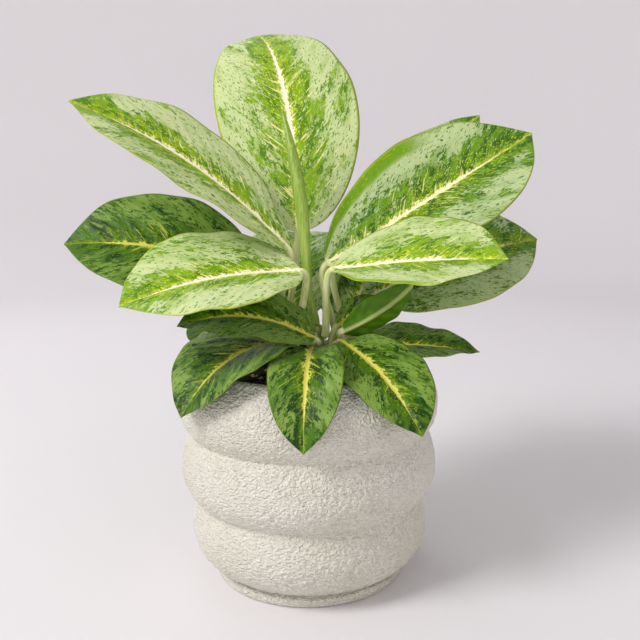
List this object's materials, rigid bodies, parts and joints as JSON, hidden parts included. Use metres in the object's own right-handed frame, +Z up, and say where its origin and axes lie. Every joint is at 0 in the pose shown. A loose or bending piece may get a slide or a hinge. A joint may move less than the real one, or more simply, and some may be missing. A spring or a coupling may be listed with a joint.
{
  "type": "potted chinese evergreen",
  "caption": "Potted foliage plant: broad mottled leaves on short canes in a black nursery pot, standing in a white textured pot with stacked bulges.",
  "frame": {"origin": "middle of the pot's flat underside", "axes": "+Z up along the pot's axis; -Y is the plant's front; +X is to the right seen from the front"},
  "size_m": [0.328, 0.2469, 0.3726],
  "materials": {
    "ceramic": "satin",
    "nursery_plastic": "matte",
    "soil": "matte",
    "cane": "satin",
    "leaf": "satin"
  },
  "bodies": {
    "root": {"ceramic_pot": "ceramic", "nursery_pot": "nursery_plastic", "soil": "soil", "cane_front": "cane", "cane_left": "cane", "cane_right": "cane", "leaf_back_upright": "leaf", "leaf_upper_left": "leaf", "leaf_left_rear": "leaf", "leaf_left_front": "leaf", "leaf_upper_right": "leaf", "leaf_right_rear_high": "leaf", "leaf_right_front": "leaf", "leaf_right_rear_low": "leaf", "leaf_low_right": "leaf", "leaf_front_left": "leaf", "leaf_front_center": "leaf", "leaf_front_right": "leaf", "leaf_low_left": "leaf", "leaf_young": "leaf", "leaf_inner_right": "leaf", "leaf_rear": "leaf", "leaf_rear_right": "leaf", "leaf_rear_low": "leaf", "leaf_new_rolled": "leaf"}
  },
  "joints": []
}
